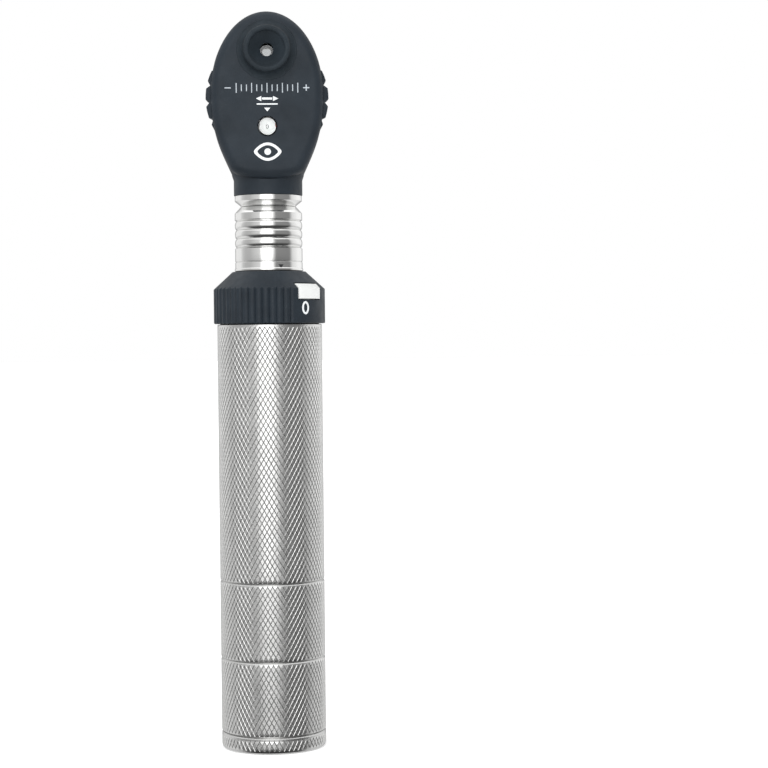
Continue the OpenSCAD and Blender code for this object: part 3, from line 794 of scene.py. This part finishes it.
near = -face_y  # distances towards the examiner
pupil, lip_r, lip = 1.7, 5.25, 0.75
flare = [math.radians(a) for a in range(0, 76, 5)]
bead = [math.radians(a) for a in range(0, 181, 12)]
turned(
    "cup",
    [(pupil, near - 1.1), (2.6, near - 1.1), (2.6, near - 1.8), (4.2, near - 1.8), (4.2, near), (7.8, near)]
    + [(7.7 - 1.7 * math.sin(a), near + 0.15 + 2.9 * (1 - math.cos(a))) for a in flare]
    + [(lip_r + lip * math.cos(a), near + 3.25 + lip * math.sin(a)) for a in bead]
    + [(pupil, near + 0.7)],
    160,
    (0, sight_z),
    body="head",
    slot="rubber_black",
    replaces=["eyepiece_cup"],
    sharp=40,
)

turned(
    "dial_glass",
    [(0, near - 0.9), (GLASS_R, near - 0.9)]
    + [(GLASS_R * (1 - t / 10), near - 0.3 * (1 - t / 10) ** 2) for t in range(11)],
    96,
    (0, dial_z),
    body="head",
    slot="clear_glass",
    replaces=["dial_window"],
)

far = -back_y
turned(
    "bezel",
    eased([(4.5, far), (6.3, far), (6.3, far - 0.8), (5.9, far - 1.2), (4.9, far - 1.2)], 0.15),
    144,
    (0, window_z),
    body="head",
    slot="rubber_black",
    replaces=["front_bezel"],
)
softened("cover_screws", "screws", "head", "inner_steel", 0.07)
softened("lens_wheel", "wheel_toothed", "lens_wheel", "shell_black", 0.12)
softened("aperture_wheel", "aperture_toothed", "aperture_wheel", "inner_black", 0.08)

# ---- Springs, copied from their CAD nodes ----

spring = place(copied("contact_spring", "contact_coil"), "handle", "spring_steel", ["contact_spring"])
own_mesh(spring)

spring = place(copied("button_spring", "button_coil"), "dimmer_ring", "spring_steel", ["button_spring"])
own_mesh(spring)

leaf = dress(copied("detent_leaf", "detent_blade"), "spring_steel", ["detent_leaf"])
ball_x = (low("detent_ball", 0) + high("detent_ball", 0)) / 2 * MM
ball_z = (low("detent_ball", 2) + high("detent_ball", 2)) / 2 * MM
leaf_y = low("detent_leaf", 1) * MM
held, carried = (ball_x, leaf_y, ball_z + 6 * MM), (ball_x, leaf_y, ball_z + 0.8 * MM)
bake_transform(leaf)
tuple(held)
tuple(carried)

# ---- Printed marks ----

SUNK, PROUD = -0.06, 0.03  # where a mark starts and ends, out of the surface under it


def outlined(skin, outer, inner, spot):
    """A printed line between two closed outlines of (across, up)."""
    loops = [
        skin.add([spot(u, v, w) for u, v in line])
        for line, w in ((outer, SUNK), (outer, PROUD), (inner, PROUD), (inner, SUNK))
    ]
    for a, c in zip(loops, loops[1:] + loops[:1]):
        skin.bridge(a, c)


def filled(skin, outline, spot):
    """A printed filled shape."""
    low_ring = skin.add([spot(u, v, SUNK) for u, v in outline])
    high_ring = skin.add([spot(u, v, PROUD) for u, v in outline])
    skin.bridge(low_ring, high_ring)
    skin.faces += [tuple(low_ring), tuple(high_ring)]


def bar(skin, u, v, w, h, spot):
    """A printed bar, w across and h up, round (u, v)."""
    corners = ((-1, -1), (1, -1), (1, 1), (-1, 1))
    filled(skin, [(u + a * w / 2, v + c * h / 2) for a, c in corners], spot)


def on_face(u, v, w):
    return (u, face_y - w, v)


def on_round(r, turn):
    """A placer for marks on a cylinder, that many degrees from the examiner's side to +X."""

    def spot(u, v, w):
        a = math.radians(turn) + u / r
        return ((r + w) * math.sin(a), -(r + w) * math.cos(a), v)

    return spot


def printed(name, skin, body, slot, ink):
    """A piece of print: it shares a slot and keeps its own ink."""
    make(name, skin, body, slot).data.materials[0] = finishes[ink]


# a fine scale with its ends marked minus and plus
skin = Skin()
v, sign_x, sign_w, stroke = waist + 1.56, 10.1, 1.6, 0.28
for k in range(-6, 7):
    bar(skin, k * 1.32, v, 0.24, 2.5 if k % 3 == 0 else 1.7, on_face)
for side in (-1, 1):
    bar(skin, side * sign_x, v, sign_w, stroke, on_face)
for half in (1, -1):
    bar(skin, sign_x, v + half * (sign_w + stroke) / 4, stroke, (sign_w - stroke) / 2, on_face)
printed("scale_print", skin, "head", "button_white", "print_grey")

# a double arrow, a rule and a pointer over the dial window, and an eye under it
skin = Skin()
v = waist - 1.2
bar(skin, 0, v, 2.6, 0.56, on_face)
for side in (-1, 1):
    filled(skin, [(side * 1.5, v - 0.65), (side * 2.9, v), (side * 1.5, v + 0.65)], on_face)
bar(skin, 0, waist - 2.6, 5.4, 0.34, on_face)
filled(skin, [(-0.8, waist - 3.55), (0, waist - 4.5), (0.8, waist - 3.55)], on_face)
eye_z = dial_z - 6.6


def almond(a, c):
    """An eye's outline: an ellipse pinched towards its two corners."""
    return [
        (a * math.cos(t), eye_z + c * math.sin(t) * (1 - 0.42 * math.cos(t) ** 2)) for t in even_angles(64)
    ]


outlined(skin, almond(3.55, 2.35), almond(2.65, 1.65), on_face)
filled(skin, ellipse(0.85, 0.85, eye_z), on_face)
printed("face_print", skin, "head", "button_white", "print_white")

# an oval zero by the button, and the socket's index triangle
skin = Skin()
v = ring_hi - 9.65
outlined(skin, ellipse(1.15, 1.7, v), ellipse(0.6, 1.15, v), on_round(ring_r, 39.6))
printed("ring_mark", skin, "dimmer_ring", "button_white", "print_white")

skin = Skin()
v = socket_lo + 1
filled(skin, [(-0.7, v + 0.5), (0, v - 0.6), (0.7, v + 0.5)], on_round(socket_r, 20.6))
printed("socket_mark", skin, "handle", "core_black", "print_black")

# the dial's powers: each one shows under the pointer while its lens is at the sight hole
STATIONS = 24
NUMERAL_H, NUMERAL_T = 1.55, 0.015
plus_powers = [1, 2, 3, 4, 5, 6, 7, 8, 9, 10, 15, 20]
minus_powers = [1, 2, 3, 4, 5, 6, 8, 10, 15, 20, 25]
dial_front = low("dial_ring", 1)


def numerals(name, stations, ink):
    """One piece with a numeral at each (station, power), upright when it is at the window."""
    b = bmesh.new()
    for k, power in stations:
        curve = bpy.data.curves.new("numeral", "FONT")
        curve.body, curve.size, curve.extrude = str(power), NUMERAL_H * MM, NUMERAL_T * MM
        curve.align_x, curve.align_y = "CENTER", "CENTER"
        obj = linked("numeral", curve)
        view = bpy.context.evaluated_depsgraph_get()
        mesh = bpy.data.meshes.new_from_object(obj.evaluated_get(view))
        a = k * 2 * math.pi / STATIONS
        across = Vector((math.cos(a), 0, -math.sin(a)))
        up = Vector((math.sin(a), 0, math.cos(a)))
        centre = Vector((0, dial_front, wheel_z)) * MM + up * (dial_z - wheel_z) * MM
        for p in mesh.vertices:
            p.co = centre + across * p.co.x + up * p.co.y - Vector((0, p.co.z, 0))
        b.from_mesh(mesh)
        bpy.data.objects.remove(obj)
        bpy.data.curves.remove(curve)
        bpy.data.meshes.remove(mesh)
    made = bpy.data.meshes.new(name)
    b.to_mesh(made)
    b.free()
    obj = linked(name, made)
    tidy(obj)
    place(obj, "lens_wheel", "dial_white")
    obj.data.materials[0] = finishes[ink]


numerals("dial_plus", [(0, 0)] + [(k + 1, p) for k, p in enumerate(plus_powers)], "print_black")
numerals("dial_minus", [(-k - 1, p) for k, p in enumerate(minus_powers)], "print_red")

# ---- Floor ----

floor_mesh = bpy.data.meshes.new("floor")
floor_mesh.from_pydata([(-6, -3, 0), (6, -3, 0), (6, 9, 0), (-6, 9, 0)], [], [(0, 1, 2, 3)])
floor = linked("floor", floor_mesh)
floor.location.z = -0.00005
floor.visible_glossy = False
finish(
    "floor_pale", (0.9, 0.9, 0.9), 0.8, vary=0.01, patch=3, Emission_Color=(1, 1, 1, 1),
    Emission_Strength=0.3
)
floor_mesh.materials.append(finishes["floor_pale"])

# ---- The room: panels and dark gaps that the chrome mirrors ----

world = bpy.data.worlds.new("studio")
world.use_nodes = True
tree = world.node_tree
back = tree.nodes["Background"]
where = tree.nodes.new("ShaderNodeTexCoord")
parts = tree.nodes.new("ShaderNodeSeparateXYZ")
flip = tree.nodes.new("ShaderNodeMath")
flip.operation = "MULTIPLY"
flip.inputs[1].default_value = -1
turn = tree.nodes.new("ShaderNodeMath")
turn.operation = "ARCTAN2"
share = tree.nodes.new("ShaderNodeMapRange")
share.inputs["From Min"].default_value = -math.pi
share.inputs["From Max"].default_value = math.pi
tree.links.new(where.outputs["Generated"], parts.inputs["Vector"])
tree.links.new(parts.outputs["Y"], flip.inputs[0])
tree.links.new(parts.outputs["X"], turn.inputs[0])
tree.links.new(flip.outputs["Value"], turn.inputs[1])
tree.links.new(turn.outputs["Value"], share.inputs["Value"])


def ramp_of(stops):
    """Brightness by compass angle, where 0 is the examiner's side and 90 is +X."""
    made = tree.nodes.new("ShaderNodeValToRGB")
    ramp = made.color_ramp
    while len(ramp.elements) < len(stops):
        ramp.elements.new(0.5)
    for element, (angle, level) in zip(ramp.elements, stops):
        element.position = (angle + 180) / 360
        element.color = (level, level, level, 1)
    tree.links.new(share.outputs["Result"], made.inputs["Fac"])
    return made.outputs["Color"]


def plain(level):
    """One even grey."""
    made = tree.nodes.new("ShaderNodeRGB")
    made.outputs["Color"].default_value = (level, level, level, 1)
    return made.outputs["Color"]


panels = ramp_of([
    (-180, 0.42), (-160, 0.5), (-148, 0.9), (-112, 0.9), (-100, 0.62), (-86, 0.5), (-66, 0.5),
    (-52, 0.62), (-30, 0.75), (-22, 2.2), (7, 2.2), (16, 0.9), (24, 0.27), (76, 0.25), (88, 0.8),
    (120, 1.05), (148, 1), (160, 0.5), (180, 0.42)
])
lower_room = ramp_of([
    (-180, 0.35), (-160, 0.4), (-148, 0.68), (-112, 0.7), (-100, 0.5), (-86, 0.36), (-66, 0.34),
    (-52, 0.36), (-30, 0.36), (-20, 0.36), (6, 0.36), (16, 0.28), (24, 0.12), (76, 0.12), (88, 0.5),
    (120, 0.72), (148, 0.7), (160, 0.4), (180, 0.35)
])
ground = ramp_of([(-180, 0.85), (-95, 0.85), (-72, 0.05), (74, 0.05), (96, 0.85), (180, 0.85)])


def upward(a, b, z_from, z_to):
    """Colour a, turning to b as the direction's height goes from z_from to z_to."""
    share = tree.nodes.new("ShaderNodeMapRange")
    share.inputs["From Min"].default_value = z_from
    share.inputs["From Max"].default_value = z_to
    mix = tree.nodes.new("ShaderNodeMix")
    mix.data_type = "RGBA"
    tree.links.new(parts.outputs["Z"], share.inputs["Value"])
    tree.links.new(share.outputs["Result"], mix.inputs["Factor"])
    tree.links.new(a, mix.inputs["A"])
    tree.links.new(b, mix.inputs["B"])
    return mix.outputs["Result"]


room = upward(panels, lower_room, -0.04, -0.2)
room = upward(room, ground, -0.2, -0.42)
room = upward(room, plain(1.3), 0.55, 0.8)

# the camera itself sees plain white
direct = tree.nodes.new("ShaderNodeLightPath")
seen = tree.nodes.new("ShaderNodeMix")
seen.data_type = "RGBA"
seen.inputs["B"].default_value = (1, 1, 1, 1)
tree.links.new(direct.outputs["Is Camera Ray"], seen.inputs["Factor"])
tree.links.new(room, seen.inputs["A"])
tree.links.new(seen.outputs["Result"], back.inputs["Color"])
bpy.context.scene.world = world

# ---- Lights and camera ----


def softbox(name, at, size, watts, aim=(0, 0, 0.1)):
    light = bpy.data.lights.new(name, "AREA")
    light.size, light.energy = size, watts
    obj = linked(name, light)
    obj.location = at
    obj.visible_glossy = False
    obj.rotation_mode = "QUATERNION"
    obj.rotation_quaternion = (Vector(aim) - Vector(at)).to_track_quat("-Z", "Y")


softbox("key", (-0.32, -0.55, 0.5), 0.3, 1.6)
softbox("fill", (0.5, -0.35, 0.25), 0.35, 0.5)

lens = bpy.data.cameras.new("camera")
lens.sensor_width, lens.lens = 36, 93.7
lens.clip_start = 0.01
camera = linked("camera", lens)
camera.rotation_mode = "QUATERNION"
camera.location = (0, -0.528, 0.1076)
pan, tilt, lean = (
    Matrix.Rotation(math.radians(a), 3, axis) for a, axis in ((-3.255, "Z"), (88.65, "X"), (-0.57, "Z"))
)
camera.rotation_quaternion = (pan @ tilt @ lean).to_quaternion()
bpy.context.scene.camera = camera
bpy.context.scene.view_settings.view_transform = "Standard"
